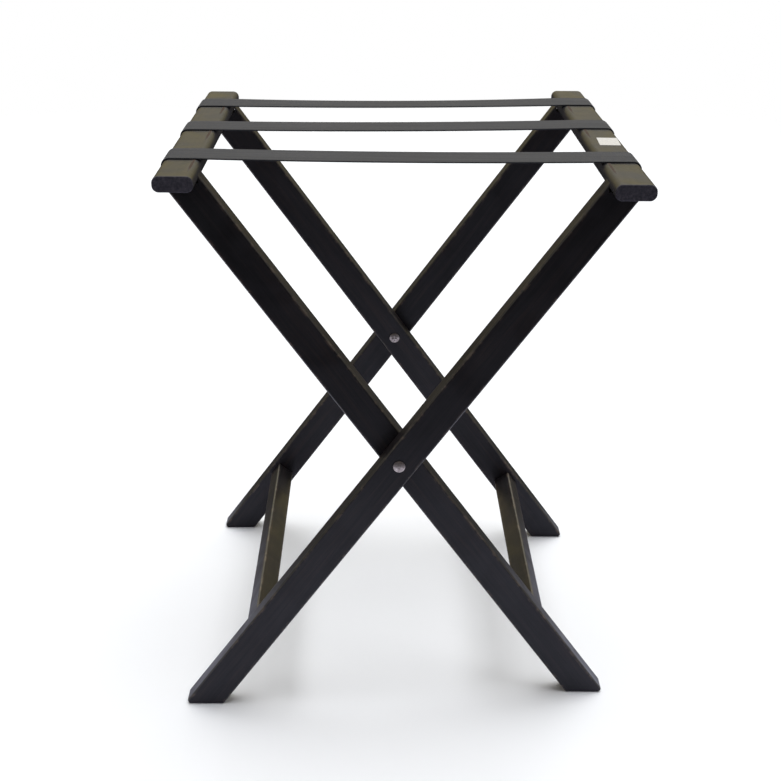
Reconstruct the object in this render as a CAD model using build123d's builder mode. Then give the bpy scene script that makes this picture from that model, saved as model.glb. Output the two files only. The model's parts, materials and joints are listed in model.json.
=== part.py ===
from build123d import *

import os
from math import cos, radians, sin, tan

os.makedirs("parts", exist_ok=True)

# A folding luggage rack: two wooden frames that cross like scissors on two pivots, each with two
# legs, one top rail and one stretcher, held open by three webbing straps.
# X runs across the rack in the folding direction, Y runs along the rails, Z is up, and the origin
# is on the floor under the middle. Lengths are in millimetres and angles in degrees.

# The two frames. The outer frame's rail is on the +X side, and its legs stand outside the inner ones.
OUTER = 1
INNER = -1
ENDS = {"front": -1, "back": 1}

# Driving dimensions of the wood.
PIVOT_HEIGHT = 254.8
LEAN = 36.36  # every leg leans this far from upright when the rack is open
LEG_WIDTH = 30.5
LEG_THICK = 20.0
LEG_GAP = 2.0  # between an outer leg and the inner leg beside it
OUTER_LEG_FACE = 200.0  # from the middle to the outside of an outer leg
FOOT_RADIUS = 3.0
LEG_EDGE = 2.0
RAIL_TOP = 525.0
RAIL_WIDTH = 35.0
RAIL_THICK = 14.0
RAIL_X = 192.9  # from the middle to a rail's centreline
RAIL_LENGTH = {OUTER: 466.0, INNER: 426.0}
RAIL_EDGE = 6.0  # the round along a rail's four long edges
RAIL_END_EDGE = 1.0
STRETCHER_WIDTH = 20.0  # across the leg
STRETCHER_THICK = 17.0  # along the leg
STRETCHER_REACH = 225.5  # from the pivot, along the leg, to the stretcher's middle
STRETCHER_EDGE = 1.5

# Dowels that join the wood.
DOWEL_RADIUS = 3.0
DOWEL_SPACING = 10.0
DOWEL_IN_LEG = 12.0
DOWEL_IN_RAIL = 9.0
DOWEL_IN_STRETCHER = 20.0

# Pivot: a sleeve nut through both legs, closed by a cross-recess screw, with a washer between the legs.
SLEEVE_RADIUS = 4.0
SCREW_RADIUS = 2.45
PIVOT_CLEARANCE = 0.05  # on the radius
PIVOT_PLAY = 0.1  # between the inner leg and the washer or the screw's head
HEAD_RADIUS = 5.5
HEAD_RIM = 0.9
HEAD_DOME = 0.9
SCREW_LENGTH = 14.0
SLEEVE_BORE_DEPTH = 16.0
WASHER_RADIUS = 10.0
RECESS_SPAN = 5.6
RECESS_WIDTH = 1.2
RECESS_DEPTH = 1.2

# Straps: each is one length of webbing, modelled as a wrap on each rail and a span between them.
STRAP_WIDTH = 43.0
STRAP_THICK = 1.5
STRAP_SAG = 1.6
STRAP_TAIL = 19.0  # how far a strap's end runs back under its rail
STRAP_OVERHANG = 0.5  # how far a wrap runs past the rail's inner side
STRAP_SEAM = 0.1  # between a span and the wrap on the inner frame
STRAP_Y = {
    "front": {OUTER: -128.0, INNER: -125.0},
    "middle": {OUTER: 27.0, INNER: 7.0},
    "rear": {OUTER: 157.0, INNER: 136.0},
}

# Staples that hold the strap ends under the rails, two to each end.
STAPLE_CROWN = 10.6
STAPLE_WIRE_WIDTH = 1.2
STAPLE_WIRE_THICK = 0.6
STAPLE_LEG = 8.0
STAPLE_SPREAD = 22.0
STAPLE_X = 193.0

# A small blank label on the outer frame's rail.
LABEL_SIZE = (19.5, 35.0)
LABEL_THICK = 0.3
LABEL_PLACE = (196.2, -54.7)
LABEL_TURN = -2.5

RAIL_UNDERSIDE = RAIL_TOP - RAIL_THICK
LEG_MIDDLE = {
    OUTER: OUTER_LEG_FACE - LEG_THICK / 2,
    INNER: OUTER_LEG_FACE - LEG_THICK * 1.5 - LEG_GAP,
}
PIVOT_AXIS = Axis((0, 0, PIVOT_HEIGHT), (0, 1, 0))
HOLE_RADIUS = SLEEVE_RADIUS + PIVOT_CLEARANCE


def save(piece, name):
    """Label a finished piece and write it to its own file."""
    piece.part.label = name
    export_step(piece.part, f"parts/{name}.step")


def leg_x(frame, height):
    """Where a leg's centreline is across the rack, at a height above the floor."""
    return frame * (height - PIVOT_HEIGHT) * tan(radians(LEAN))


def stretcher_centre(frame):
    """The middle of a frame's stretcher, as (x, z)."""
    x = -frame * STRETCHER_REACH * sin(radians(LEAN))
    return (x, PIVOT_HEIGHT - STRETCHER_REACH * cos(radians(LEAN)))


def stretcher_dowel_points(frame):
    """The two dowels in each end of a stretcher, as (x, z), side by side across the leg."""
    x, z = stretcher_centre(frame)
    dx = DOWEL_SPACING / 2 * cos(radians(LEAN))
    dz = -frame * DOWEL_SPACING / 2 * sin(radians(LEAN))
    return [(x - dx, z - dz), (x + dx, z + dz)]


def rail_dowel_points(frame):
    """The dowels between a rail and its two legs, as (x, y), two to each leg."""
    x = leg_x(frame, RAIL_UNDERSIDE - DOWEL_IN_LEG / 2)
    middle = LEG_MIDDLE[frame]
    offsets = (-DOWEL_SPACING / 2, DOWEL_SPACING / 2)
    return [(x, end * middle + d) for end in ENDS.values() for d in offsets]


def staple_points(frame, strap):
    """The two staples under one strap's end, as (x, y)."""
    y = STRAP_Y[strap][frame]
    return [(frame * STAPLE_X, y + d) for d in (-STAPLE_SPREAD / 2, STAPLE_SPREAD / 2)]


def make_leg(frame, end_name, name):
    """A leg: cut level at the floor and under the rail, bored for the pivot and for its dowels.

    Its inner edge runs on past the seat as a small shoulder, flush with the rail's inner side.
    """
    half = LEG_WIDTH / 2 / cos(radians(LEAN))
    foot_x = leg_x(frame, 0)
    top_x = leg_x(frame, RAIL_UNDERSIDE)
    shoulder_x = frame * (RAIL_X - RAIL_WIDTH / 2)
    shoulder_top = PIVOT_HEIGHT + (abs(shoulder_x) + half) / tan(radians(LEAN))
    end = ENDS[end_name]
    y_mid = end * LEG_MIDDLE[frame]
    inner_face = y_mid - end * LEG_THICK / 2
    with BuildPart() as leg:
        with BuildSketch(Plane.XZ.offset(-y_mid)) as outline:
            with BuildLine():
                Polyline(
                    (foot_x - frame * half, 0),
                    (foot_x + frame * half, 0),
                    (top_x + frame * half, RAIL_UNDERSIDE),
                    (shoulder_x, RAIL_UNDERSIDE),
                    (shoulder_x, shoulder_top),
                    close=True,
                )
            make_face()
            fillet(outline.vertices().group_by(Axis.Y)[0], FOOT_RADIUS)
        extrude(amount=LEG_THICK / 2, both=True)
        sides = leg.faces().filter_by(Axis.Y).edges()
        fillet(sides.filter_by(lambda e: e.center().Z < RAIL_UNDERSIDE - 1), LEG_EDGE)
        with BuildSketch(Plane.XZ.offset(-y_mid)):
            with Locations((0, PIVOT_HEIGHT)):
                Circle(HOLE_RADIUS)
        extrude(amount=LEG_THICK, both=True, mode=Mode.SUBTRACT)
        with BuildSketch(Plane.XY.offset(RAIL_UNDERSIDE)):
            with Locations(*[p for p in rail_dowel_points(frame) if p[1] * end > 0]):
                Circle(DOWEL_RADIUS)
        extrude(amount=-DOWEL_IN_LEG, mode=Mode.SUBTRACT)
        with BuildSketch(Plane.XZ.offset(-inner_face)):
            with Locations(*stretcher_dowel_points(frame)):
                Circle(DOWEL_RADIUS)
        extrude(amount=-end * DOWEL_IN_LEG, mode=Mode.SUBTRACT)
    save(leg, name)


def make_rail(frame, name):
    """A top rail: a flat bar with rounded long edges, bored for dowels and slotted for staples."""
    centre = (frame * RAIL_X, RAIL_TOP - RAIL_THICK / 2)
    with BuildPart() as rail:
        with BuildSketch(Plane.XZ):
            with Locations(centre):
                RectangleRounded(RAIL_WIDTH, RAIL_THICK, RAIL_EDGE)
        extrude(amount=RAIL_LENGTH[frame] / 2, both=True)
        fillet(rail.faces().filter_by(Axis.Y).edges(), RAIL_END_EDGE)
        with BuildSketch(Plane.XY.offset(RAIL_UNDERSIDE)):
            with Locations(*rail_dowel_points(frame)):
                Circle(DOWEL_RADIUS)
        extrude(amount=DOWEL_IN_RAIL, mode=Mode.SUBTRACT)
        for strap in STRAP_Y:
            cut_staple_slots(frame, strap)
    save(rail, name)


def cut_staple_slots(frame, strap):
    """Cut the slots of one strap end's staples out of the part being built."""
    for x, y in staple_points(frame, strap):
        slot_y = (STAPLE_CROWN - STAPLE_WIRE_THICK) / 2
        with Locations(*[(x, y + s * slot_y, RAIL_UNDERSIDE) for s in (-1, 1)]):
            Box(STAPLE_WIRE_WIDTH, STAPLE_WIRE_THICK, 2 * STAPLE_LEG, mode=Mode.SUBTRACT)


def make_stretcher(frame, name):
    """A stretcher between a frame's legs, square to them, bored at both ends for its dowels."""
    reach = LEG_MIDDLE[frame] - LEG_THICK / 2
    with BuildPart() as stretcher:
        with BuildSketch(Plane.XZ) as section:
            with Locations(stretcher_centre(frame)):
                Rectangle(STRETCHER_WIDTH, STRETCHER_THICK, rotation=-frame * LEAN)
            fillet(section.vertices(), STRETCHER_EDGE)
        extrude(amount=reach, both=True)
        for end in ENDS.values():
            with BuildSketch(Plane.XZ.offset(-end * reach)):
                with Locations(*stretcher_dowel_points(frame)):
                    Circle(DOWEL_RADIUS)
            extrude(amount=end * DOWEL_IN_STRETCHER, mode=Mode.SUBTRACT)
    save(stretcher, name)


def make_rail_dowels(frame, name):
    """The four upright dowels that join a rail to its two legs."""
    with BuildPart() as dowels:
        with BuildSketch(Plane.XY.offset(RAIL_UNDERSIDE - DOWEL_IN_LEG)):
            with Locations(*rail_dowel_points(frame)):
                Circle(DOWEL_RADIUS)
        extrude(amount=DOWEL_IN_LEG + DOWEL_IN_RAIL)
    save(dowels, name)


def make_stretcher_dowels(frame, name):
    """The four level dowels that join a stretcher to its two legs."""
    reach = LEG_MIDDLE[frame] - LEG_THICK / 2
    with BuildPart() as dowels:
        for end in ENDS.values():
            with BuildSketch(Plane.XZ.offset(-end * (reach + DOWEL_IN_LEG))):
                with Locations(*stretcher_dowel_points(frame)):
                    Circle(DOWEL_RADIUS)
            extrude(amount=end * (DOWEL_IN_LEG + DOWEL_IN_STRETCHER))
    save(dowels, name)


def head_profile(seat, outward):
    """Half of a low domed head on a seat at y = seat, from the axis out to the rim's seat."""
    top = seat + outward * (HEAD_RIM + HEAD_DOME)
    rim = seat + outward * HEAD_RIM
    # A shallow dome has dropped by a quarter of its height half way out.
    ThreePointArc((0, top), (HEAD_RADIUS / 2, top - outward * HEAD_DOME / 4), (HEAD_RADIUS, rim))
    Line((HEAD_RADIUS, rim), (HEAD_RADIUS, seat))


def make_sleeve_nut(end_name, name):
    """The pivot's sleeve: a domed head outside the outer leg and a bored sleeve through both legs."""
    end = ENDS[end_name]
    seat = end * OUTER_LEG_FACE
    sleeve_end = seat - end * (2 * LEG_THICK + LEG_GAP + PIVOT_PLAY)
    bore_end = sleeve_end + end * SLEEVE_BORE_DEPTH
    bore_radius = SCREW_RADIUS + PIVOT_CLEARANCE
    with BuildPart() as nut:
        with BuildSketch(Plane.XY.offset(PIVOT_HEIGHT)):
            with BuildLine():
                head_profile(seat, end)
                Polyline(
                    (HEAD_RADIUS, seat),
                    (SLEEVE_RADIUS, seat),
                    (SLEEVE_RADIUS, sleeve_end),
                    (bore_radius, sleeve_end),
                    (bore_radius, bore_end),
                    (0, bore_end),
                    (0, seat + end * (HEAD_RIM + HEAD_DOME)),
                )
            make_face()
        revolve(axis=PIVOT_AXIS)
    save(nut, name)


def make_pivot_screw(end_name, name):
    """The screw that closes a sleeve nut from the inside, with a cross recess in its head."""
    end = ENDS[end_name]
    seat = end * (OUTER_LEG_FACE - 2 * LEG_THICK - LEG_GAP - PIVOT_PLAY)
    tip = seat + end * SCREW_LENGTH
    head_top = seat - end * (HEAD_RIM + HEAD_DOME)
    with BuildPart() as screw:
        with BuildSketch(Plane.XY.offset(PIVOT_HEIGHT)):
            with BuildLine():
                head_profile(seat, -end)
                Polyline(
                    (HEAD_RADIUS, seat),
                    (SCREW_RADIUS, seat),
                    (SCREW_RADIUS, tip),
                    (0, tip),
                    (0, head_top),
                )
            make_face()
        revolve(axis=PIVOT_AXIS)
        with BuildSketch(Plane.XZ.offset(-head_top)):
            with Locations((0, PIVOT_HEIGHT)):
                Rectangle(RECESS_SPAN, RECESS_WIDTH)
                Rectangle(RECESS_WIDTH, RECESS_SPAN)
        extrude(amount=-end * RECESS_DEPTH, mode=Mode.SUBTRACT)
    save(screw, name)


def make_washer(end_name, name):
    """The washer between an outer and an inner leg, lying against the outer one."""
    end = ENDS[end_name]
    face = end * (OUTER_LEG_FACE - LEG_THICK)
    with BuildPart() as washer:
        with BuildSketch(Plane.XZ.offset(-face)):
            with Locations((0, PIVOT_HEIGHT)):
                Circle(WASHER_RADIUS)
                Circle(HOLE_RADIUS, mode=Mode.SUBTRACT)
        extrude(amount=end * (LEG_GAP - PIVOT_PLAY))
    save(washer, name)


def wrap_inner_end(frame):
    """Where a strap leaves a wrap: just past the side of the rail that faces the other rail."""
    return frame * (RAIL_X - RAIL_WIDTH / 2 - STRAP_OVERHANG)


def make_wrap(frame, strap, name):
    """One end of a strap: over the rail, round its outer side and back under it, with staple slots."""
    inner_end = wrap_inner_end(frame)
    outer_side = frame * (RAIL_X + RAIL_WIDTH / 2)
    tail_end = outer_side - frame * (STRAP_TAIL + RAIL_EDGE)
    skin = frame * STRAP_THICK
    with BuildPart() as wrap:
        with BuildSketch(Plane.XZ.offset(-STRAP_Y[strap][frame])):
            with BuildLine():
                FilletPolyline(
                    (inner_end, RAIL_TOP),
                    (outer_side, RAIL_TOP),
                    (outer_side, RAIL_UNDERSIDE),
                    (tail_end, RAIL_UNDERSIDE),
                    radius=RAIL_EDGE,
                )
                FilletPolyline(
                    (inner_end, RAIL_TOP + STRAP_THICK),
                    (outer_side + skin, RAIL_TOP + STRAP_THICK),
                    (outer_side + skin, RAIL_UNDERSIDE - STRAP_THICK),
                    (tail_end, RAIL_UNDERSIDE - STRAP_THICK),
                    radius=RAIL_EDGE + STRAP_THICK,
                )
                Line((inner_end, RAIL_TOP), (inner_end, RAIL_TOP + STRAP_THICK))
                Line((tail_end, RAIL_UNDERSIDE), (tail_end, RAIL_UNDERSIDE - STRAP_THICK))
            make_face()
        extrude(amount=STRAP_WIDTH / 2, both=True)
        cut_staple_slots(frame, strap)
    save(wrap, name)


def make_span(strap, name):
    """The part of a strap between the rails, sagging a little in the middle."""
    y_inner = STRAP_Y[strap][INNER]
    y_outer = STRAP_Y[strap][OUTER]
    level = RAIL_TOP + STRAP_THICK / 2
    stations = [
        (wrap_inner_end(INNER) + STRAP_SEAM, y_inner, level),
        (0, (y_inner + y_outer) / 2, level - STRAP_SAG),
        (wrap_inner_end(OUTER), y_outer, level),
    ]
    with BuildPart() as span:
        for station in stations:
            with BuildSketch(Plane(origin=station, x_dir=(0, 1, 0), z_dir=(1, 0, 0))):
                Rectangle(STRAP_WIDTH, STRAP_THICK)
        loft()
    save(span, name)


def make_staples(frame, name):
    """The six staples under a rail, two to each strap end."""
    places = [p for strap in STRAP_Y for p in staple_points(frame, strap)]
    crown_top = RAIL_UNDERSIDE - STRAP_THICK
    leg_height = STAPLE_LEG + STRAP_THICK
    leg_y = (STAPLE_CROWN - STAPLE_WIRE_THICK) / 2
    up = (Align.CENTER, Align.CENTER, Align.MIN)
    down = (Align.CENTER, Align.CENTER, Align.MAX)
    with BuildPart() as staples:
        for x, y in places:
            with Locations((x, y, crown_top)):
                Box(STAPLE_WIRE_WIDTH, STAPLE_CROWN, STAPLE_WIRE_THICK, align=down)
            with Locations((x, y - leg_y, crown_top), (x, y + leg_y, crown_top)):
                Box(STAPLE_WIRE_WIDTH, STAPLE_WIRE_THICK, leg_height, align=up)
    save(staples, name)


def make_label(name):
    """A blank paper label stuck on the outer frame's rail, a little crooked."""
    with BuildPart() as label:
        with BuildSketch(Plane.XY.offset(RAIL_TOP)):
            with Locations(Location(LABEL_PLACE, LABEL_TURN)):
                RectangleRounded(*LABEL_SIZE, radius=1.0)
        extrude(amount=LABEL_THICK)
    save(label, name)


for frame, frame_name in ((OUTER, "outer"), (INNER, "inner")):
    for end_name in ENDS:
        make_leg(frame, end_name, f"{frame_name}_leg_{end_name}")
    make_rail(frame, f"{frame_name}_top_rail")
    make_stretcher(frame, f"{frame_name}_stretcher")
    make_rail_dowels(frame, f"{frame_name}_rail_dowels")
    make_stretcher_dowels(frame, f"{frame_name}_stretcher_dowels")
    make_staples(frame, f"{frame_name}_rail_staples")
    for strap in STRAP_Y:
        make_wrap(frame, strap, f"{strap}_strap_{frame_name}_wrap")
for end_name in ENDS:
    make_sleeve_nut(end_name, f"pivot_sleeve_nut_{end_name}")
    make_pivot_screw(end_name, f"pivot_screw_{end_name}")
    make_washer(end_name, f"pivot_washer_{end_name}")
for strap in STRAP_Y:
    make_span(strap, f"{strap}_strap_span")
make_label("rail_label")
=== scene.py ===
import json
from math import atan2, cos, degrees, hypot, pi, radians, sin

import bmesh
import bpy
from mathutils import Euler, Matrix, Vector
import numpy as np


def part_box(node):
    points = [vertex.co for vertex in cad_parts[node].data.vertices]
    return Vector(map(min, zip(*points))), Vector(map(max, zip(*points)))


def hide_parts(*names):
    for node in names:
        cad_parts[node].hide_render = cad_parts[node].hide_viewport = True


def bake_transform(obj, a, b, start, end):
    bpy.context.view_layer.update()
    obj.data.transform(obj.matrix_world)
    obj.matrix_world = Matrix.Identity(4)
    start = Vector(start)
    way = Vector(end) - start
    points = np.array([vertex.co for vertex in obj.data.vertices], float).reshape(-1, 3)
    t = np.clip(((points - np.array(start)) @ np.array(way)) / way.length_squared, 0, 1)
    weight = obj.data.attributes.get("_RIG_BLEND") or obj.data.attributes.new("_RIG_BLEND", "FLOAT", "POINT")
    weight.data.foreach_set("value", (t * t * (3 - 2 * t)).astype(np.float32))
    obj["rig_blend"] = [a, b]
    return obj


# The looks of a folding luggage rack: beech bars stained espresso under satin lacquer, three grey
# webbing straps and small nickel-plated pivots. Everything is in metres in the CAD model's own frame:
# X runs across the rack in the folding direction, Y along the rails, Z up, with the floor at zero.

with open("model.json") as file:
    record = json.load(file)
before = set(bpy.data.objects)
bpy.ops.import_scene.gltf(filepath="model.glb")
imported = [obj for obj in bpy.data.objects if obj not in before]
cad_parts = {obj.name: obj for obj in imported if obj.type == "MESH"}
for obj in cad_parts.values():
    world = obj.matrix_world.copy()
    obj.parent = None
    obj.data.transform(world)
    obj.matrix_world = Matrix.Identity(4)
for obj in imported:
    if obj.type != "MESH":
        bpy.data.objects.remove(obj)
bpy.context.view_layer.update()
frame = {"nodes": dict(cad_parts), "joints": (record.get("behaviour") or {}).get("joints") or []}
bpy.ops.object.select_all(action="DESELECT")

MM = 0.001
STRAPS = ("front", "middle", "rear")
SIDES = {"inner": -1, "outer": 1}  # which way across the rack each frame's rail lies
HINGE = frame["joints"][0]
PIVOT = Vector(HINGE["pos_m"])
FOLD_LIMIT = HINGE["range_deg"][1]


def middle_of(node):
    """The middle of a CAD node's box."""
    low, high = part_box(node)
    return (low + high) / 2


def half_size(node):
    """Half of a CAD node's box."""
    low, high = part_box(node)
    return (high - low) / 2


LEAN = radians(36.36)  # how far the legs lean from upright


# ------------------------------------------------------------------ shader nodes


def linear(colour):
    """An sRGB hex colour as linear red, green, blue and alpha."""
    channels = [int(colour[i : i + 2], 16) / 255 for i in (1, 3, 5)]
    return [c / 12.92 if c <= 0.04045 else ((c + 0.055) / 1.055) ** 2.4 for c in channels] + [1.0]


def add(tree, kind, inputs=None, stops=None, **settings):
    """Add a shader node. inputs maps a socket's name or number to a value or to what is linked into
    it, a node meaning its first output. stops are a colour ramp's positions and hex colours."""
    made = tree.nodes.new("ShaderNode" + kind)
    for setting, value in settings.items():
        setattr(made, setting, value)
    for socket, value in (inputs or {}).items():
        if isinstance(value, bpy.types.Node):
            value = value.outputs[0]
        if isinstance(value, bpy.types.NodeSocket):
            tree.links.new(value, made.inputs[socket])
        else:
            made.inputs[socket].default_value = value
    if stops:
        elements = made.color_ramp.elements
        for _ in stops[2:]:
            elements.new(0.5)
        for element, (position, colour) in zip(elements, stops):
            element.position = position
            element.color = linear(colour)
    return made


def new_material(name):
    """A new material, as the material, its node tree and its Principled shader."""
    material = bpy.data.materials.new(name)
    material.use_nodes = True
    return material, material.node_tree, material.node_tree.nodes["Principled BSDF"]


def dress(node, material):
    """Give a CAD node its finish."""
    for place in frame["nodes"][node].material_slots:
        place.material = material


# ------------------------------------------------------------------ wood

# Pattern sizes, in repeats to the metre: across the bar, across it the other way, and along it.
FINE_GRAIN = (1100, 1100, 25)  # 0.9 mm wide, and 40 mm before it breaks
GRAIN_BANDS = (160, 160, 7)  # 6 mm wide and 140 mm long
# Pattern sizes that are the same every way, in repeats to the metre.
WEAR_PATCHES = 95.0  # 10 mm
KNOCK_CELLS = 26.0  # 38 mm apart
SMEARS = 22.0  # 45 mm
ORANGE_PEEL = 330.0  # 3 mm
END_PORES = 420.0  # 2.4 mm: drawn far coarser than beech's pores, so that they show
RUB_SIZE = (1.3 * MM, 28 * MM, 5 * MM)  # half a rub's width, length and depth


def espresso_beech(name, turn, middle, half, gloss, mirrored=False, rubs=()):
    """Beech stained espresso and sprayed with satin lacquer: nearly black, with the grain and a warm
    brown only just showing through, a film that is a little uneven, edges where handling has polished
    the lacquer or rubbed it through to brown, and a painted highlight along each long edge. turn brings
    the bar's length onto the
    pattern's Z, middle is a point on its centreline and half is half its width, thickness and
    length. mirrored is for bars that share a material and stand on both sides of Y = 0: their edges
    are found by the distance from there. gloss is the film's IOR, lower where more matting powder
    has settled. rubs are the points where a strap's edge has worn the rail."""
    material, tree, shader = new_material(name)
    point = add(tree, "TexCoord").outputs["Object"]
    place = point
    if mirrored:
        apart = add(tree, "SeparateXYZ", {0: point})
        level = add(tree, "Math", {0: apart.outputs["Y"]}, operation="ABSOLUTE")
        place = add(tree, "CombineXYZ", {0: apart.outputs["X"], 1: level, 2: apart.outputs["Z"]})
    spin = Euler(turn).to_matrix()
    bar = add(tree, "Mapping", {"Vector": place, "Location": -(spin @ middle), "Rotation": turn})
    along = add(tree, "SeparateXYZ", {0: bar})

    # How far a point is from the bar's nearest long edge: one of the two gaps is nothing on a face.
    side = add(tree, "Math", {0: along.outputs["X"]}, operation="ABSOLUTE")
    cheek = add(tree, "Math", {0: along.outputs["Y"]}, operation="ABSOLUTE")
    side_gap = add(tree, "Math", {0: half[0], 1: side}, operation="SUBTRACT")
    cheek_gap = add(tree, "Math", {0: half[1], 1: cheek}, operation="SUBTRACT")
    edge_gap = add(tree, "Math", {0: side_gap, 1: cheek_gap}, operation="ADD")

    # Fine grain in broader bands: the stain takes a little deeper in some than in others.
    lengthwise = add(tree, "Mapping", {"Vector": point, "Rotation": turn})
    fine = add(tree, "VectorMath", {0: lengthwise, 1: FINE_GRAIN}, operation="MULTIPLY")
    grain = add(tree, "TexNoise", {"Vector": fine, "Scale": 1.0, "Detail": 5.0, "Roughness": 0.62})
    broad = add(tree, "VectorMath", {0: lengthwise, 1: GRAIN_BANDS}, operation="MULTIPLY")
    bands = add(tree, "TexNoise", {"Vector": broad, "Scale": 1.0, "Detail": 3.0, "Distortion": 0.6})
    banded = add(tree, "Math", {0: bands, 1: 0.45}, operation="MULTIPLY")
    both = add(tree, "Math", {0: grain, 1: 0.55, 2: banded}, operation="MULTIPLY_ADD")
    espresso = [(0.36, "#110F0F"), (0.5, "#1A1718"), (0.68, "#2A211D")]
    stain = add(tree, "ValToRGB", {"Fac": both}, espresso)

    # Wear: patchy along the edges, plus scattered knocks about 3 mm across.
    patchwork = {"Vector": lengthwise, "Scale": WEAR_PATCHES, "Detail": 4.0, "Roughness": 0.7}
    patches = add(tree, "TexNoise", patchwork)
    near = add(tree, "MapRange", {"Value": edge_gap, 1: 0.3 * MM, 2: 3.2 * MM, 3: 1.0, 4: 0.0})
    patchy = add(tree, "MapRange", {"Value": patches, 1: 0.5, 2: 0.62, 3: 0.0, 4: 1.0})
    worn_edge = add(tree, "Math", {0: near, 1: patchy}, operation="MULTIPLY")
    cells = add(tree, "TexVoronoi", {"Vector": lengthwise, "Scale": KNOCK_CELLS, "Randomness": 1.0})
    to_knock = cells.outputs["Distance"]
    knock = add(tree, "MapRange", {"Value": to_knock, 1: 0.03, 2: 0.055, 3: 1.0, 4: 0.0})
    knock_here = add(tree, "MapRange", {"Value": patches, 1: 0.56, 2: 0.6, 3: 0.0, 4: 0.8})
    knocks = add(tree, "Math", {0: knock, 1: knock_here}, operation="MULTIPLY")
    wear = add(tree, "Math", {0: worn_edge, 1: knocks}, operation="MAXIMUM")
    brown = add(tree, "ValToRGB", {"Fac": grain}, [(0.35, "#3B2C22"), (0.7, "#8A7866")])
    share = add(tree, "Math", {0: wear, 1: 0.8}, operation="MULTIPLY")
    colour = add(tree, "Mix", {0: share, 6: stain, 7: brown}, data_type="RGBA")

    # A thin pale line is painted along each long edge. It is a painted highlight that stands in for the
    # light the rounded edges catch.
    painted_edge_highlight = add(tree, "MapRange", {"Value": edge_gap, 1: 0.7 * MM, 2: 1.7 * MM, 3: 0.45, 4: 0.0})
    pale = linear("#7A766A")
    colour = add(tree, "Mix", {0: painted_edge_highlight, 6: colour.outputs[2], 7: pale}, data_type="RGBA")

    # End grain is left sanded, so the ends are matt. Their lighter, cool slate grey with pore speckle is
    # painted light: it stands in for the cool light that the rail ends catch from the floor in front.
    from_middle = add(tree, "Math", {0: along.outputs["Z"]}, operation="ABSOLUTE")
    end = add(tree, "MapRange", {"Value": from_middle, 1: half[2] - 1.2 * MM, 2: half[2] - 0.4 * MM})
    speckle = {"Vector": lengthwise, "Scale": END_PORES, "Detail": 4.0, "Roughness": 0.7}
    pores = add(tree, "TexNoise", speckle)
    pores_and_painted_end_light = add(tree, "ValToRGB", {"Fac": pores}, [(0.34, "#2C2A30"), (0.5, "#3E3B41"), (0.68, "#534F54")])
    colour = add(tree, "Mix", {0: end, 6: colour.outputs[2], 7: pores_and_painted_end_light}, data_type="RGBA")

    # Each rub is a narrow streak in front of a strap, drawn out along the rail, where the film has
    # gone and the bare brown wood is too rough to shine.
    bare = add(tree, "Math", {0: 0.0, 1: 0.0})
    for spot in rubs:
        offset = add(tree, "VectorMath", {0: place, 1: spot}, operation="SUBTRACT")
        drawn = add(tree, "VectorMath", {0: offset, 1: RUB_SIZE}, operation="DIVIDE")
        reach = add(tree, "VectorMath", {0: drawn}, operation="LENGTH").outputs["Value"]
        ragged = add(tree, "Math", {0: patches, 1: 1.1, 2: reach}, operation="MULTIPLY_ADD")
        rub = add(tree, "MapRange", {"Value": ragged, 1: 1.2, 2: 1.75, 3: 1.0, 4: 0.0})
        bare = add(tree, "Math", {0: bare, 1: rub}, operation="MAXIMUM")
    rubbed = linear("#3A2818")
    colour = add(tree, "Mix", {0: bare, 6: colour.outputs[2], 7: rubbed}, data_type="RGBA")
    tree.links.new(colour.outputs[2], shader.inputs["Base Color"])

    # The film: satin, dulled by fine dust and handling, a little glossier where edges are polished.
    handled = {"Vector": lengthwise, "Scale": SMEARS, "Detail": 6.0, "Distortion": 0.8}
    smears = add(tree, "TexNoise", handled)
    satin = add(tree, "MapRange", {"Value": smears, 1: 0.3, 2: 0.7, 3: 0.3, 4: 0.5})
    polish = add(tree, "Math", {0: near, 1: -0.07, 2: satin}, operation="MULTIPLY_ADD")
    matt = add(tree, "Math", {0: bare, 1: end}, operation="MAXIMUM")
    dulled = add(tree, "Math", {0: matt, 1: 0.5, 2: polish}, operation="MULTIPLY_ADD")
    dulled.use_clamp = True
    tree.links.new(dulled.outputs[0], shader.inputs["Roughness"])
    shader.inputs["IOR"].default_value = gloss

    # Relief: the open grain 0.05 mm deep, the sprayed film's orange peel, and the wear.
    peel = add(tree, "TexNoise", {"Vector": lengthwise, "Scale": ORANGE_PEEL, "Detail": 2.0})
    surface = add(tree, "Math", {0: peel, 1: 0.45, 2: grain}, operation="MULTIPLY_ADD")
    lowered = add(tree, "Math", {0: wear, 1: -1.2, 2: surface}, operation="MULTIPLY_ADD")
    relief = add(tree, "Bump", {"Height": lowered, "Distance": 0.05 * MM, "Strength": 0.8})
    tree.links.new(relief.outputs[0], shader.inputs["Normal"])
    return material


NO_END = 1.0  # stands for a half length where a bar's ends are hidden or cut on the slant
LEG_HALF_WIDTH = 15.25 * MM
STRETCHER_HALF = (10 * MM, 8.5 * MM, NO_END)
LEG_GLOSS = 1.38
STRETCHER_GLOSS = 1.42
RAIL_GLOSS = 1.5
RUB_INSET = 6.5 * MM  # from the rail's inner edge
RUB_AHEAD = 12 * MM  # from the strap's front edge

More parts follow.
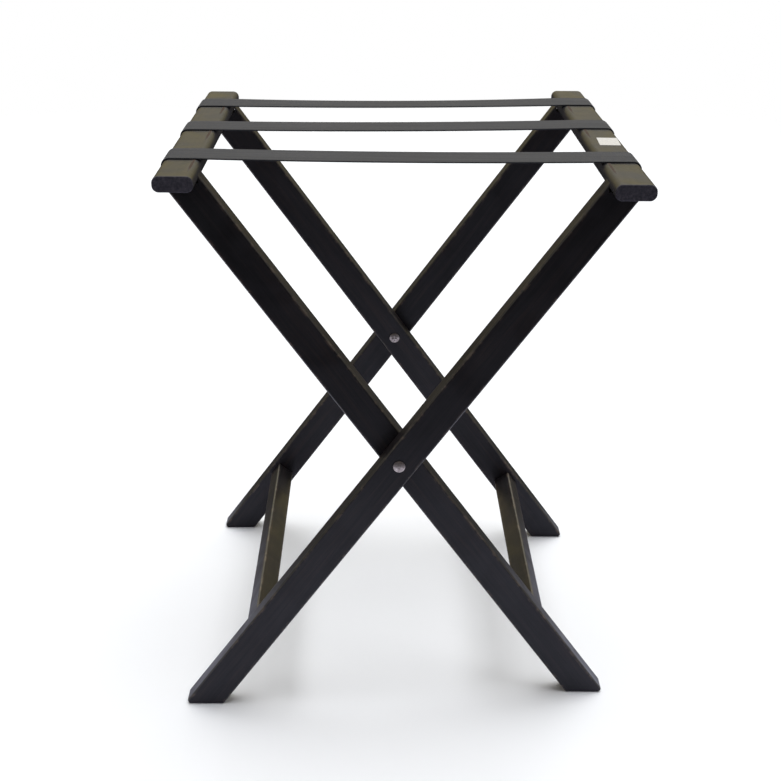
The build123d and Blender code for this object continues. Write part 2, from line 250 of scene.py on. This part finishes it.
for side, way in SIDES.items():
    leg = f"{side}_leg_back"
    leg_middle = Vector((PIVOT.x, middle_of(leg).y, PIVOT.z))
    leg_wood = espresso_beech(
        f"espresso_beech_{side}_legs",
        (0, -way * LEAN, 0),
        leg_middle,
        (LEG_HALF_WIDTH, half_size(leg).y, NO_END),
        gloss=LEG_GLOSS,
        mirrored=True,
    )
    dress(f"{side}_leg_front", leg_wood)
    dress(leg, leg_wood)

    rail = f"{side}_top_rail"
    low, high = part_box(rail)
    rub_x = (low.x if way > 0 else high.x) + way * RUB_INSET
    rubs = []
    for strap in STRAPS:
        strap_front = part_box(f"{strap}_strap_{side}_wrap")[0].y
        rubs.append((rub_x, strap_front - RUB_AHEAD, high.z))
    rail_wood = espresso_beech(
        f"espresso_beech_{side}_rail",
        (pi / 2, 0, 0),
        middle_of(rail),
        half_size(rail).xzy,
        gloss=RAIL_GLOSS,
        rubs=rubs,
    )
    dress(rail, rail_wood)

    stretcher = f"{side}_stretcher"
    stretcher_wood = espresso_beech(
        f"espresso_beech_{side}_stretcher",
        (pi / 2, 0, -way * LEAN),
        middle_of(stretcher),
        STRETCHER_HALF,
        gloss=STRETCHER_GLOSS,
    )
    dress(stretcher, stretcher_wood)


# Birch dowels, bare wood: pale straw with grain 1 mm wide. They only show in an opened joint.
material, tree, shader = new_material("bare_birch_dowel")
place = add(tree, "TexCoord").outputs["Object"]
drawn = add(tree, "VectorMath", {0: place, 1: (900, 900, 300)}, operation="MULTIPLY")
grain = add(tree, "TexNoise", {"Vector": drawn, "Scale": 1.0, "Detail": 4.0})
tone = add(tree, "ValToRGB", {"Fac": grain}, [(0.35, "#B99A6E"), (0.7, "#D8BE95")])
tree.links.new(tone.outputs[0], shader.inputs["Base Color"])
relief = add(tree, "Bump", {"Height": grain, "Distance": 0.04 * MM})
tree.links.new(relief.outputs[0], shader.inputs["Normal"])
shader.inputs["Roughness"].default_value = 0.6
for side in SIDES:
    dress(f"{side}_rail_dowels", material)
    dress(f"{side}_stretcher_dowels", material)


# ------------------------------------------------------------------ metal, nylon and paper


# Nickel-plated steel, barrel polished: a soft warm grey mirror, with tarnish in clouds 2.4 mm across
# and pits 0.4 mm across.
material, tree, shader = new_material("nickel_plated_steel")
place = add(tree, "TexCoord").outputs["Object"]
cloud = add(tree, "TexNoise", {"Vector": place, "Scale": 420.0, "Detail": 4.0, "Roughness": 0.6})
tone = add(tree, "ValToRGB", {"Fac": cloud}, [(0.35, "#8C827C"), (0.65, "#BAB0A8")])
tree.links.new(tone.outputs[0], shader.inputs["Base Color"])
dull = add(tree, "MapRange", {"Value": cloud, 1: 0.35, 2: 0.7, 3: 0.42, 4: 0.26})
tree.links.new(dull.outputs[0], shader.inputs["Roughness"])
pits = add(tree, "TexNoise", {"Vector": place, "Scale": 2600.0, "Detail": 2.0})
relief = add(tree, "Bump", {"Height": pits, "Distance": 0.01 * MM, "Strength": 0.6})
tree.links.new(relief.outputs[0], shader.inputs["Normal"])
shader.inputs["Metallic"].default_value = 1.0
for end in ("front", "back"):
    dress(f"pivot_sleeve_nut_{end}", material)
    dress(f"pivot_screw_{end}", material)

# Galvanised staple wire: cool bright grey, mottled about every millimetre.
material, tree, shader = new_material("galvanised_staple_wire")
place = add(tree, "TexCoord").outputs["Object"]
streak = add(tree, "TexNoise", {"Vector": place, "Scale": 900.0, "Detail": 3.0})
tone = add(tree, "ValToRGB", {"Fac": streak}, [(0.3, "#7F8486"), (0.7, "#B4B8BA")])
tree.links.new(tone.outputs[0], shader.inputs["Base Color"])
shader.inputs["Metallic"].default_value = 1.0
shader.inputs["Roughness"].default_value = 0.38
for side in SIDES:
    dress(f"{side}_rail_staples", material)

# Black moulded nylon washer: dense black with a soft low gloss and a face grained at 0.7 mm.
material, tree, shader = new_material("moulded_black_nylon")
place = add(tree, "TexCoord").outputs["Object"]
grained = add(tree, "TexNoise", {"Vector": place, "Scale": 1500.0, "Detail": 2.0})
tone = add(tree, "ValToRGB", {"Fac": grained}, [(0.3, "#101011"), (0.7, "#1A1A1C")])
tree.links.new(tone.outputs[0], shader.inputs["Base Color"])
relief = add(tree, "Bump", {"Height": grained, "Distance": 0.02 * MM})
tree.links.new(relief.outputs[0], shader.inputs["Normal"])
shader.inputs["Roughness"].default_value = 0.45
for end in ("front", "back"):
    dress(f"pivot_washer_{end}", material)


# ------------------------------------------------------------------ straps

STRAP_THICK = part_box("front_strap_outer_wrap")[1].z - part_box("outer_top_rail")[1].z
STRAP_WIDTH = 2 * half_size("front_strap_outer_wrap").y
SPAN_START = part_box("inner_top_rail")[1].x
SPAN_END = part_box("outer_top_rail")[0].x
RAIL_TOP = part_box("outer_top_rail")[1].z
RAIL_ROUND = 6 * MM  # the radius of the rails' long edges
STRAP_TAIL = 19 * MM  # stapled flat under each rail
STRAP_SAG = 1.6 * MM  # at mid span
SPAN_STEP = 5 * MM
ARC_STEPS = 6
RIBS = 14  # webbing this wide has about 30 cords; drawn coarser, so that they show
RIB_RELIEF = 0.09 * MM
PICK_SPACING = 1.6 * MM  # twice the real spacing, so that the crossing threads show
EDGE_SHADOW_WIDTH = 2.2 * MM
SELVEDGE_ROUND = 0.45 * MM
ROW_STEP = 0.01 * MM  # how finely points are told apart along a strap, to sort them into rows
# How far each strap's back edge hangs below its front edge at mid span: the rear one is slacker.
STRAP_TILT = {"front": 0.0, "middle": 0.0, "rear": 1.1 * MM}


# Polyester webbing, woven with cords lengthwise and dyed charcoal: matt, with fine ribs along it, a
# painted shadow line along both edges, threads crossing between the ribs, and lint that lightens it.
# Its UV map runs across the strap in U and along it in V, in metres.
webbing, tree, shader = new_material("charcoal_polyester_webbing")
weave = add(tree, "UVMap", uv_map="webbing").outputs[0]
split = add(tree, "SeparateXYZ", {0: weave})
across = split.outputs[0]
along = split.outputs[1]
rib_step = add(tree, "Math", {0: across, 1: RIBS / STRAP_WIDTH}, operation="MULTIPLY")
rib_turn = add(tree, "Math", {0: rib_step, 1: 2 * pi}, operation="MULTIPLY")
rib_wave = add(tree, "Math", {0: rib_turn}, operation="COSINE")

# The crossing threads step by half their spacing from one rib to the next.
rib_number = add(tree, "Math", {0: rib_step}, operation="FLOOR")
half_step = add(tree, "Math", {0: rib_number, 1: pi}, operation="MULTIPLY")
pick = {0: along, 1: 2 * pi / PICK_SPACING, 2: half_step}
pick_turn = add(tree, "Math", pick, operation="MULTIPLY_ADD")
pick_wave = add(tree, "Math", {0: pick_turn}, operation="SINE")
cloth = add(tree, "Math", {0: pick_wave, 1: 0.5, 2: rib_wave}, operation="MULTIPLY_ADD")

# Lint in tufts about 4 mm across, and streaks 5 mm wide that run 200 mm along the strap.
lint = add(tree, "TexNoise", {"Vector": weave, "Scale": 260.0, "Detail": 5.0, "Roughness": 0.7})
drawn = add(tree, "VectorMath", {0: weave, 1: (210, 5, 1)}, operation="MULTIPLY")
streaks = add(tree, "TexNoise", {"Vector": drawn, "Scale": 1.0, "Detail": 3.0, "Roughness": 0.55})
streaked = add(tree, "Math", {0: cloth, 1: 0.07, 2: streaks}, operation="MULTIPLY_ADD")
linted = add(tree, "Math", {0: lint, 1: 0.35, 2: streaked}, operation="MULTIPLY_ADD")
charcoal = [(0.42, "#1E1E21"), (0.66, "#2A2A2D"), (0.88, "#3F3F42")]
dyed = add(tree, "ValToRGB", {"Fac": linted}, charcoal)

# A band along each edge is painted nearly black: a painted shadow line along the strap's edges.
off_middle = add(tree, "Math", {0: across, 1: STRAP_WIDTH / 2}, operation="SUBTRACT")
from_middle = add(tree, "Math", {0: off_middle}, operation="ABSOLUTE")
shadow_from = STRAP_WIDTH / 2 - EDGE_SHADOW_WIDTH
painted_edge_shadow = add(tree, "MapRange", {"Value": from_middle, 1: shadow_from, 2: shadow_from + MM, 3: 0.0, 4: 0.65})
edge_shadowed = add(tree, "Mix", {0: painted_edge_shadow, 6: dyed, 7: linear("#141416")}, data_type="RGBA")
tree.links.new(edge_shadowed.outputs[2], shader.inputs["Base Color"])
shader.inputs["Roughness"].default_value = 0.85
shader.inputs["Sheen Weight"].default_value = 0.12
shader.inputs["Sheen Roughness"].default_value = 0.4
relief = add(tree, "Bump", {"Height": cloth, "Distance": 0.16 * MM, "Strength": 0.9})
tree.links.new(relief.outputs[0], shader.inputs["Normal"])


def over_rail(strap, side):
    """The strap's middle line over one rail, from its cut end underneath to where it leaves the
    rail's top, as (x, y, z) points."""
    way = SIDES[side]
    low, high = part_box(f"{side}_top_rail")
    y = middle_of(f"{strap}_strap_{side}_wrap").y
    outside = high.x if way > 0 else low.x
    inside = low.x if way > 0 else high.x
    corner_x = outside - way * RAIL_ROUND
    bend = RAIL_ROUND + STRAP_THICK / 2
    line = [(corner_x - way * STRAP_TAIL, y, low.z - STRAP_THICK / 2)]
    for corner_z, start in ((low.z + RAIL_ROUND, -pi / 2), (high.z - RAIL_ROUND, 0)):
        for step in range(ARC_STEPS + 1):
            angle = start + step / ARC_STEPS * pi / 2
            line.append((corner_x + way * bend * cos(angle), y, corner_z + bend * sin(angle)))
    line.append((inside + way * RAIL_ROUND, y, high.z + STRAP_THICK / 2))
    return line


def strap_line(strap):
    """A strap's whole middle line, from its end under the inner rail to its end under the outer one.
    Between the rails it hangs in a shallow parabola."""
    start = over_rail(strap, "inner")
    end = over_rail(strap, "outer")[::-1]
    left = Vector(start[-1])
    right = Vector(end[0])
    steps = round((right.x - left.x) / SPAN_STEP)
    span = []
    for step in range(1, steps):
        share = step / steps
        point = left.lerp(right, share)
        point.z -= 4 * STRAP_SAG * share * (1 - share)
        span.append(tuple(point))
    return start + span + end


def extrude_strip(name, line):
    """Extrude a row of faces, two to a rib, along a line of points. The strip's UV map, in metres,
    runs across it in U and along it in V."""
    first = Vector(line[0])
    second = Vector(line[1])
    length = (second - first).length
    bpy.ops.mesh.primitive_grid_add(
        x_subdivisions=1, y_subdivisions=2 * RIBS, size=1, location=(first + second) / 2
    )
    strip = bpy.context.object
    strip.name = name
    strip.scale = (length, STRAP_WIDTH, 1)
    bpy.ops.object.transform_apply(location=True, rotation=True, scale=True)
    bpy.ops.object.mode_set(mode="EDIT")
    bpy.ops.mesh.select_mode(type="EDGE")
    cloth = bmesh.from_edit_mesh(strip.data)
    ahead = cloth.verts.layers.float.new("ahead")  # each point's distance along the strip
    for vert in cloth.verts:
        vert[ahead] = length if abs(vert.co.x - second.x) < 0.1 * MM else 0
        vert.select = vert[ahead] > 0
    cloth.select_flush(True)
    cloth.select_flush(False)
    bmesh.update_edit_mesh(strip.data)

    for here, there in zip(line[1:], line[2:]):
        stride = Vector(there) - Vector(here)
        length += hypot(stride.x, stride.z)
        bpy.ops.mesh.extrude_region_move(TRANSFORM_OT_translate={"value": stride})
        cloth = bmesh.from_edit_mesh(strip.data)
        ahead = cloth.verts.layers.float["ahead"]
        for vert in cloth.verts:
            if vert.select:
                vert[ahead] = length

    rows = {}
    for vert in cloth.verts:
        rows.setdefault(round(vert[ahead] / ROW_STEP), []).append(vert)
    across = {}
    for row in rows.values():
        row.sort(key=lambda v: v.co.y)
        for number, vert in enumerate(row):
            across[vert] = number / (2 * RIBS)
    uv = cloth.loops.layers.uv.new("webbing")
    for face in cloth.faces:
        for loop in face.loops:
            loop[uv].uv = (across[loop.vert] * STRAP_WIDTH, loop.vert[ahead])
    bmesh.update_edit_mesh(strip.data)
    bpy.ops.mesh.select_all(action="SELECT")
    bpy.ops.mesh.normals_make_consistent(inside=False)
    bpy.ops.object.mode_set(mode="OBJECT")
    return strip


def make_strap(strap):
    """A strap of webbing: a ribbed strip with a soft selvedge, from staple to staple."""
    line = strap_line(strap)
    strip = extrude_strip(f"{strap}_strap", line)
    bpy.ops.object.mode_set(mode="EDIT")
    cloth = bmesh.from_edit_mesh(strip.data)
    uv = cloth.loops.layers.uv["webbing"]
    for vert in cloth.verts:
        loose = max(0, 1 - (vert.co.x / SPAN_END) ** 2)
        across = vert.link_loops[0][uv].uv.x / STRAP_WIDTH
        vert.co.z -= STRAP_TILT[strap] * loose * across
        row = round(across * 2 * RIBS)
        vert.co += vert.normal * (RIB_RELIEF if row % 2 else -RIB_RELIEF)
    bmesh.update_edit_mesh(strip.data)
    bpy.ops.object.mode_set(mode="OBJECT")
    wall = strip.modifiers.new("woven thickness", "SOLIDIFY")
    wall.thickness = STRAP_THICK - 2 * RIB_RELIEF
    wall.offset = 0
    selvedge = strip.modifiers.new("selvedge", "BEVEL")
    selvedge.width = SELVEDGE_ROUND
    selvedge.segments = 2
    selvedge.limit_method = "ANGLE"
    selvedge.angle_limit = radians(60)
    for modifier in ("woven thickness", "selvedge"):
        bpy.ops.object.modifier_apply(modifier=modifier)
    bpy.ops.object.shade_smooth_by_angle(angle=radians(50))
    strip.data.materials.append(webbing)
    return strip


# How far each half of a strap bows out, in degrees about the pivots, when the rack is folded: towards
# the inner frame and towards the outer one. The rear strap has a leg close on the inner side.
SLACK = {"front": (5.0, 5.5), "middle": (6.0, 4.5), "rear": (0.4, 6.0)}
BETWEEN_RAILS = 0.055  # the share of the span, at each end, that lies between the closed rails


def lean_of(x):
    """The angle from upright, about the pivots, of the strap's middle line at x."""
    height = RAIL_TOP - STRAP_SAG * max(0, 1 - (x / SPAN_END) ** 2)
    return degrees(atan2(x, height - PIVOT.z))


def hang_when_folded(piece, strap):
    """Share out the fold along a strap so that its slack hangs as one loop between the closed rails.
    The share is 0 where a point follows the inner frame and 1 where it follows the outer one."""
    closed = (lean_of(SPAN_START) + FOLD_LIMIT + lean_of(SPAN_END)) / 2
    apart = lean_of(SPAN_END) - closed
    shares = []
    for vert in piece.data.vertices:
        along = (vert.co.x - SPAN_START) / (SPAN_END - SPAN_START)
        if not 0 < along < 1:
            shares.append(0 if along <= 0 else 1)
            continue
        half = min(along, 1 - along)
        loose = max(0, (half - BETWEEN_RAILS) / (0.5 - BETWEEN_RAILS))
        bow = SLACK[strap][along > 0.5] * sin(pi * loose) + apart * (1 - loose)
        target = closed + bow * (1 if along > 0.5 else -1)
        shares.append(1 - (target - lean_of(vert.co.x)) / FOLD_LIMIT)
    piece.data.attributes["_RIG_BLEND"].data.foreach_set("value", shares)


for strap in STRAPS:
    piece = make_strap(strap)
    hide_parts(f"{strap}_strap_span", f"{strap}_strap_inner_wrap", f"{strap}_strap_outer_wrap")
    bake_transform(piece, "inner_frame", "outer_frame", start=(SPAN_START, 0, 0), end=(SPAN_END, 0, 0))
    hang_when_folded(piece, strap)
    line = strap_line(strap)
    bpy.ops.object.select_all(action="DESELECT")


# ------------------------------------------------------------------ label

# Matt paper label, coated: off-white, clouded about every 1.4 mm, slightly grey with handling.
material, tree, shader = new_material("matt_coated_paper")
place = add(tree, "TexCoord").outputs["Object"]
fibre = add(tree, "TexNoise", {"Vector": place, "Scale": 700.0, "Detail": 5.0})
tone = add(tree, "ValToRGB", {"Fac": fibre}, [(0.3, "#B9B5AE"), (0.7, "#DAD7D0")])
tree.links.new(tone.outputs[0], shader.inputs["Base Color"])
shader.inputs["Roughness"].default_value = 0.6
dress("rail_label", material)


# ------------------------------------------------------------------ floor, light and camera

# White paper on the studio floor, fading out before it ends so that no edge shows. To the camera it
# is plain white. In reflections and bounced light its colour is painted light: a cool painted pool
# around the front feet and painted shade beyond it, which the lacquer mirrors.
FLOOR_FULL = 2.2
FLOOR_GONE = 3.2
PATCH_MIDDLE = -0.25
PATCH_FULL = 0.35
PATCH_GONE = 0.6
material, tree, shader = new_material("matt_white_paper")
shader.inputs["Roughness"].default_value = 0.9
place = add(tree, "TexCoord").outputs["Object"]
depth = add(tree, "SeparateXYZ", {0: place}).outputs["Y"]
from_patch = add(tree, "Math", {0: depth, 1: PATCH_MIDDLE}, operation="SUBTRACT")
off_patch = add(tree, "Math", {0: from_patch}, operation="ABSOLUTE")
painted_shade_share = add(tree, "MapRange", {"Value": off_patch, 1: PATCH_FULL, 2: PATCH_GONE, 3: 0.0, 4: 1.0})
# Painted light: the paper's colour away from the camera, a cool pool near the feet turning to dark painted
# shade.
mirrored = add(tree, "Mix", {0: painted_shade_share, 6: linear("#E8EAFF"), 7: linear("#26262A")}, data_type="RGBA")
seen = add(tree, "LightPath").outputs["Is Camera Ray"]
paper = add(tree, "Mix", {0: seen, 6: mirrored.outputs[2], 7: linear("#F4F4F4")}, data_type="RGBA")
tree.links.new(paper.outputs[2], shader.inputs["Base Color"])
away = add(tree, "VectorMath", {0: place}, operation="LENGTH").outputs["Value"]
fade = add(tree, "MapRange", {"Value": away, 1: FLOOR_FULL, 2: FLOOR_GONE, 3: 1.0, 4: 0.0})
fade.interpolation_type = "SMOOTHSTEP"
tree.links.new(fade.outputs[0], shader.inputs["Alpha"])
bpy.ops.mesh.primitive_circle_add(vertices=96, radius=2 * FLOOR_GONE, fill_type="NGON")
floor = bpy.context.object
floor.name = "floor"
floor.data.materials.append(material)

# The studio around: plain white to look at. What the lacquer mirrors is a warm wall behind, a dull
# grey side in front, a darker band at the horizon and below it, and a cool grey ceiling.
world = bpy.data.worlds.new("studio")
bpy.context.scene.world = world
world.use_nodes = True
tree = world.node_tree
heading = add(tree, "SeparateXYZ", {0: add(tree, "TexCoord").outputs["Generated"]})
behind = add(tree, "MapRange", {"Value": heading.outputs["Y"], 1: -0.1, 2: 0.7, 3: 0.0, 4: 1.0})
above = add(tree, "MapRange", {"Value": heading.outputs["Z"], 1: 0.25, 2: 0.75, 3: 0.0, 4: 1.0})
below = add(tree, "MapRange", {"Value": heading.outputs["Z"], 1: 0.17, 2: 0.02, 3: 0.0, 4: 1.0})
walls = add(tree, "Mix", {0: behind, 6: linear("#6C6765"), 7: linear("#D2C48C")}, data_type="RGBA")
ceiling = add(tree, "Mix", {0: above, 6: walls.outputs[2], 7: linear("#8A8C94")}, data_type="RGBA")
ground = add(tree, "Mix", {0: below, 6: ceiling.outputs[2], 7: linear("#525054")}, data_type="RGBA")
seen = add(tree, "LightPath").outputs["Is Camera Ray"]
room = add(tree, "Mix", {0: seen, 6: ground.outputs[2], 7: linear("#FFFFFF")}, data_type="RGBA")
tree.links.new(room.outputs[2], tree.nodes["Background"].inputs["Color"])

# One very large soft light overhead, a little behind the rack and a little cool.
bpy.ops.object.light_add(type="SUN", location=(0, 0, 3), rotation=(radians(-16), radians(6), 0))
key = bpy.context.object
key.name = "overhead_softbox"
key.data.energy = 3.5
key.data.color = (0.95, 0.97, 1.0)
key.data.angle = radians(70)

# The camera looks slightly down on the rack from in front, with a long lens and a trace of roll.
CAMERA_PLACE = Vector((-23.4, -1382.3, 790.1)) * MM
CAMERA_PITCH = radians(21.29)
CAMERA_YAW = radians(0.72)
CAMERA_ROLL = radians(0.54)
forward = Vector(
    (sin(CAMERA_YAW) * cos(CAMERA_PITCH), cos(CAMERA_YAW) * cos(CAMERA_PITCH), -sin(CAMERA_PITCH))
)
level = Vector((cos(CAMERA_YAW), -sin(CAMERA_YAW), 0))
upright = level.cross(forward)
right = level * cos(CAMERA_ROLL) + upright * sin(CAMERA_ROLL)
up = upright * cos(CAMERA_ROLL) - level * sin(CAMERA_ROLL)
camera = bpy.data.objects.new("camera", bpy.data.cameras.new("camera"))
bpy.context.scene.collection.objects.link(camera)
camera.data.lens = 65.44
camera.data.sensor_width = 36
turned = Matrix((right, up, -forward)).transposed()
camera.matrix_world = Matrix.Translation(CAMERA_PLACE) @ turned.to_4x4()
bpy.context.scene.camera = camera
bpy.context.scene.view_settings.view_transform = "Standard"
